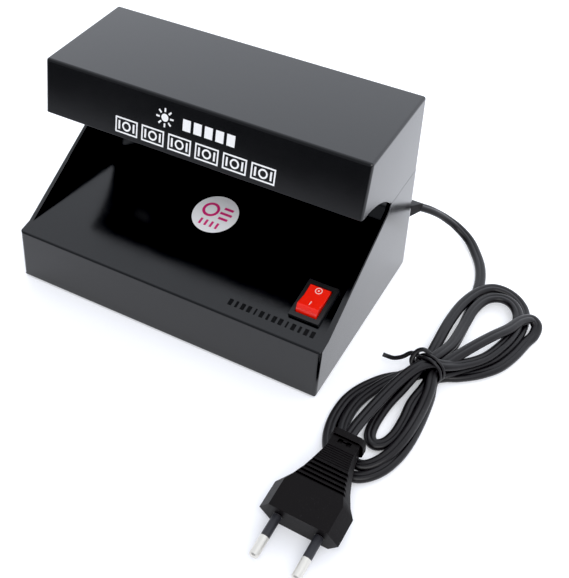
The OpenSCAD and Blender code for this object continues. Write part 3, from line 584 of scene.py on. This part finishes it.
# Where the head's edges lie: its lower front edge and its two front corners
BROW_DEPTH = 2 * MM
BROW_ABOVE = 70 * MM
HEAD_CORNER_DEPTH = 7 * MM
HEAD_CORNER_ABOVE = 80 * MM
HEAD_SHARE = dict(top=0.65, joint=0.08, brow=0.25, corner=0.7, side=0.4)


def head_share(middle, direction):
    """How much of the full rounding each edge of the head gets."""
    from_front = middle.y - HEAD_LOW.y
    at_back = near(middle.y, HEAD_HIGH.y)
    if near(middle.z, HEAD_HIGH.z):
        return HEAD_SHARE["top"]
    if near(middle.z, SPLIT):
        return HEAD_SHARE["joint"] if at_side(middle) or at_back else 0
    if runs_across(direction):
        return HEAD_SHARE["brow"] if from_front < BROW_DEPTH and middle.z > BROW_ABOVE else 0
    if at_side(middle):
        at_front = from_front < HEAD_CORNER_DEPTH and middle.z > HEAD_CORNER_ABOVE
        return HEAD_SHARE["corner"] if at_back or at_front else HEAD_SHARE["side"]
    return 0


finished(rounded(clean_copy("upper_shell"), SHELL_EDGE, head_share, segments=4),
         shell_plastic, "housing", "shell", "upper_shell")


# Rocker switch
# A snap-in switch stands on the deck at the right: a black frame round a red see-saw button,
# which is marked with a pale ring and dot at the back and a small bar at the front.
FRAME_EDGE = 0.3 * MM
BUTTON_EDGE = 0.5 * MM
switch_black = new_material(
    "switch_black", (0.014, 0.014, 0.014),
    dict(Roughness=0.3, Patchiness=0.04, Grain_scale=1500, Grain_height=0.3, Dust=0.05))
switch_red = new_material(
    "switch_red", (0.84, 0.02, 0.01),
    dict(Roughness=0.22, Patchiness=0.04, Grain_scale=900, Grain_height=0.1, Dust=0.01),
    Subsurface_Weight=0.15, Subsurface_Scale=0.002)
mark_white = new_material(
    "mark_white", (0.85, 0.6, 0.55),
    dict(Roughness=0.5, Patchiness=0.03, Grain_scale=1500, Grain_height=0.2, Dust=0.02))
finished(rounded(clean_copy("switch_housing"), FRAME_EDGE),
         switch_black, "housing", "switch_black", "switch_housing")
finished(rounded(clean_copy("switch_rocker"), BUTTON_EDGE, segments=3),
         switch_red, "rocker", "switch_red", "switch_rocker")
node_look("rocker_marks", mark_white)


# Print and sticker
# White pad print on the head's face, made of plain pictures, and a round silver film sticker on
# the deck with pink marks.
print_white = new_material(
    "print_white", (0.9, 0.9, 0.9),
    dict(Roughness=0.45, Patchiness=0.05, Grain_scale=1500, Grain_height=0.3, Dust=0.03))
sticker_silver = new_material(
    "sticker_silver", (0.95, 0.95, 0.96),
    dict(Roughness=0.35, Patchiness=0.08, Grain_scale=400, Grain_height=0.3, Dust=0.05))
sticker_pink = new_material(
    "sticker_pink", (0.72, 0.02, 0.2),
    dict(Roughness=0.4, Patchiness=0.05, Grain_scale=900, Grain_height=0.2, Dust=0.02))
node_look("front_print", print_white)
node_look("round_sticker", sticker_silver)
node_look("sticker_marks", sticker_pink)


# Lamp, reflector and holders
# Under the head a near-black ultraviolet lamp with dull metal caps sits between two black holders,
# below a folded sheet given a near-black colour, so that nothing bright shows in the glossy deck.
def metal(name, color, roughness, grain=900, height=0.15):
    return new_material(
        name, color,
        dict(Roughness=roughness, Patchiness=0.07, Grain_scale=grain, Grain_height=height, Dust=0.03),
        Metallic=1.0)


def plastic(name, color, roughness):
    return new_material(
        name, color,
        dict(Roughness=roughness, Patchiness=0.05, Grain_scale=1200, Grain_height=0.3, Dust=0.04))


zinc = metal("zinc_screws", (0.62, 0.62, 0.64), 0.32)
bronze = metal("bronze_strip", (0.75, 0.52, 0.25), 0.3)
dull_nickel = metal("dull_nickel", (0.3, 0.29, 0.28), 0.45)
# The reflector sheet is given a near-black colour so that the space under the head and its reflection in
# the deck stay dark.
near_black_reflector = new_material(
    "near_black_reflector", (0.006, 0.006, 0.007),
    dict(Roughness=0.55, Patchiness=0.05, Grain_scale=1200, Grain_height=0.3, Dust=0.02),
    Specular_IOR_Level=0.2)
holder_black = plastic("holder_black", (0.012, 0.012, 0.012), 0.45)
lamp_blue = new_material(
    "lamp_blue_glass", (0.012, 0.007, 0.045),
    dict(Roughness=0.12, Patchiness=0.02, Grain_scale=300, Grain_height=0.05, Dust=0.03))
LAMP_LOOKS = {"reflector": near_black_reflector, "reflector_screws": zinc, "lamp_holder_left": holder_black,
              "lamp_holder_right": holder_black, "holder_contacts": bronze, "holder_screws": zinc,
              "lamp_rotors": holder_black, "lamp_glass": lamp_blue, "lamp_caps": dull_nickel,
              "lamp_pins": bronze}
for node, material in LAMP_LOOKS.items():
    node_look(node, material)


# Inside and underneath
# The ballast board and its parts, the wires and the lead's clamp are closed in by a bottom cover
# with air slots, four countersunk screws and four rubber feet.
def inside_looks():
    """The material of each CAD node that is shown as it is, inside and underneath."""
    board = plastic("board_laminate", (0.42, 0.28, 0.1), 0.5)
    nylon = plastic("nylon_natural", (0.75, 0.74, 0.68), 0.45)
    ferrite = plastic("ferrite", (0.05, 0.05, 0.052), 0.6)
    black = plastic("moulded_black", (0.02, 0.02, 0.02), 0.5)
    return {"switch_terminals": bronze, "rocker_plunger": bronze, "circuit_board": board,
            "board_posts": nylon, "board_screws": zinc, "inductor_core": ferrite,
            "inductor_winding": metal("enamelled_copper", (0.6, 0.25, 0.07), 0.35, 600, 0.6),
            "filter_capacitor": plastic("capacitor_blue", (0.02, 0.03, 0.16), 0.35),
            "film_capacitors": plastic("capacitor_red", (0.42, 0.04, 0.02), 0.3),
            "transistors": black, "resistors": plastic("resistor_tan", (0.6, 0.42, 0.22), 0.4),
            "fuse": plastic("fuse_tube", (0.75, 0.78, 0.76), 0.15),
            "lamp_leads": plastic("wire_white", (0.72, 0.72, 0.7), 0.45),
            "switch_leads": plastic("wire_red", (0.4, 0.02, 0.015), 0.45), "lead_clamp": nylon,
            "clamp_screws": zinc, "lead_tail": lead_vinyl, "shell_screws": zinc, "cover_screws": zinc,
            "bottom_cover": plastic("cover_black", (0.025, 0.025, 0.026), 0.5),
            "rubber_feet": plastic("feet_rubber", (0.018, 0.018, 0.018), 0.75)}


for node, material in inside_looks().items():
    node_look(node, material)


# Table and light
# The object stands on a white sheet in a light tent that is brightest behind it. Tent and sheet
# darken towards the camera, and one square softbox stands in front, high on the right.
SHEET_SIZE = 4
SHEET_Z = -0.1 * MM
SHEET_ROUGHNESS = 0.7
# Each rise starts and ends at these places from front to back, with these levels there
SHEET_RISE = (-0.42, -0.22, 0.06, 0.88)
# The sheet's glow is painted light: the sheet is no lamp, but it gives off light that rises from front to
# back and is mirrored in the housing's glossy sides.
GLOW_RISE = (-0.2, 0.1, 0.05, 0.55)
TENT_RISE = (-0.6, 0.1, 0.45, 1.2)
TENT_BACK_RISE = (0.3, 0.6, 0, 0.7)
FIBRE_SCALE = 300
FIBRE_LEVELS = (0.985, 1.0)
GLOW_COLOR = (0.97, 0.985, 1, 1)
TENT_COLOR = (0.93, 0.97, 1.05, 1)
# The camera sees the sheet a little dimmer than the object's reflections do
SEEN_DIMMING = 0.88
BLUER = 1.03
BOX_PLACE = (0.4, -0.55, 0.85)
BOX_AIM = (0, 0, 0.05)
BOX_SIDE = 0.8
BOX_WATTS = 6
BLACK_LEVEL = 0.006


def add_floor():
    bpy.ops.mesh.primitive_plane_add(size=SHEET_SIZE, location=(0, 0, SHEET_Z))
    floor = bpy.context.object
    floor.name = "white_sheet"
    material = bpy.data.materials.new("white_sheet")
    material.use_nodes = True
    tree = material.node_tree
    shader = tree.nodes["Principled BSDF"]
    set_inputs(shader, Roughness=SHEET_ROUGHNESS, Emission_Color=GLOW_COLOR)
    coordinates = node_in(tree, "ShaderNodeTexCoord").outputs["Object"]
    parts = node_in(tree, "ShaderNodeSeparateXYZ")
    tree.links.new(coordinates, parts.inputs["Vector"])
    bright = mapped(tree, parts.outputs["Y"], *SHEET_RISE)
    # Painted light: the sheet's own glow, rising from front to back.
    glow = mapped(tree, parts.outputs["Y"], *GLOW_RISE)
    fibres = mapped(tree, scaled_noise(tree, coordinates, FIBRE_SCALE, detail=4), 0.3, 0.7, *FIBRE_LEVELS)
    ray = node_in(tree, "ShaderNodeLightPath").outputs["Is Camera Ray"]
    seen = mapped(tree, ray, 0, 1, 1, SEEN_DIMMING)
    level = maths(tree, "MULTIPLY", maths(tree, "MULTIPLY", bright, seen), fibres)
    tree.links.new(maths(tree, "MULTIPLY", glow, seen), shader.inputs["Emission Strength"])
    color = node_in(tree, "ShaderNodeCombineColor")
    for name in ("Red", "Green"):
        tree.links.new(level, color.inputs[name])
    tree.links.new(maths(tree, "MULTIPLY", level, BLUER), color.inputs["Blue"])
    tree.links.new(color.outputs["Color"], shader.inputs["Base Color"])
    paint(floor, material)


def add_tent():
    """The tent's light grows from front to back, with a brighter stretch behind the object."""
    world = bpy.data.worlds.new("light_tent")
    bpy.context.scene.world = world
    world.use_nodes = True
    tree = world.node_tree
    background = tree.nodes["Background"]
    direction = node_in(tree, "ShaderNodeTexCoord").outputs["Generated"]
    parts = node_in(tree, "ShaderNodeSeparateXYZ")
    tree.links.new(direction, parts.inputs["Vector"])
    front = mapped(tree, parts.outputs["Y"], *TENT_RISE)
    behind = mapped(tree, parts.outputs["Y"], *TENT_BACK_RISE)
    background.inputs["Color"].default_value = TENT_COLOR
    tree.links.new(maths(tree, "ADD", front, behind), background.inputs["Strength"])


def add_softbox():
    bpy.ops.object.light_add(type="AREA", location=BOX_PLACE)
    light = bpy.context.object
    light.name = "top_softbox"
    light.data.shape = "SQUARE"
    light.data.size = BOX_SIDE
    light.data.energy = BOX_WATTS
    light.rotation_euler = (Vector(BOX_AIM) - Vector(BOX_PLACE)).to_track_quat("-Z", "Y").to_euler()


add_floor()
add_tent()
add_softbox()

scene = bpy.context.scene
scene.view_settings.view_transform = "Standard"
scene.view_settings.look = "None"
scene.view_settings.exposure = 0
scene.view_settings.use_curve_mapping = True
scene.view_settings.curve_mapping.black_level = (BLACK_LEVEL, BLACK_LEVEL, BLACK_LEVEL)
